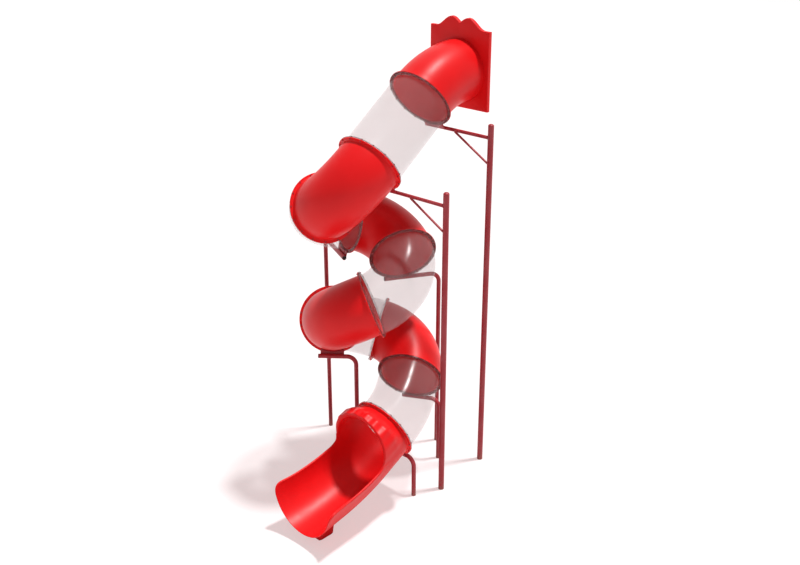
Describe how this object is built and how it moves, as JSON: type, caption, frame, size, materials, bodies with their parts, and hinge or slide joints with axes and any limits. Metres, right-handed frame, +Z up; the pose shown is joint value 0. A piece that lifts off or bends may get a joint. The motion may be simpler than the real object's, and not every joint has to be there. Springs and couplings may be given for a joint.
{
  "type": "spiral tube slide",
  "caption": "Tall spiral tube slide of red and clear flanged sections with a scalloped entry panel, an open exit chute and steel support posts.",
  "frame": {"origin": "on the ground, at the middle of the part's box", "axes": "+Z up; +Y points from the slide to the deck, square to the entry panel's back; +X is to the left of a rider who leaves the panel"},
  "size_m": [2.2348, 3.3638, 5.7162],
  "materials": {
    "red_plastic": "glossy moulded plastic",
    "clear_plastic": "clear glossy plastic",
    "painted_steel": "satin powder coat",
    "plug_plastic": "matt"
  },
  "bodies": {
    "root": {"section_01_entry_bend": "red_plastic", "section_02_clear_straight": "clear_plastic", "section_03_elbow": "red_plastic", "section_04_clear_elbow": "clear_plastic", "section_05_elbow": "red_plastic", "section_06_clear_elbow": "clear_plastic", "section_07_elbow": "red_plastic", "section_08_clear_elbow": "clear_plastic", "section_09_elbow": "red_plastic", "section_10_clear_bend": "clear_plastic", "entry_panel": "red_plastic", "section_11_exit_chute": "red_plastic", "post_top": "painted_steel", "post_cap_top": "painted_steel", "arm_top": "painted_steel", "brace_top": "painted_steel", "post_upper": "painted_steel", "post_cap_upper": "painted_steel", "arm_upper": "painted_steel", "brace_upper": "painted_steel", "leg_back": "painted_steel", "plug_back": "plug_plastic", "leg_middle": "painted_steel", "plug_middle": "plug_plastic", "leg_inner": "painted_steel", "plug_inner": "plug_plastic", "leg_lower": "painted_steel", "plug_lower": "plug_plastic", "leg_exit": "painted_steel", "plug_exit": "plug_plastic"}
  },
  "joints": []
}
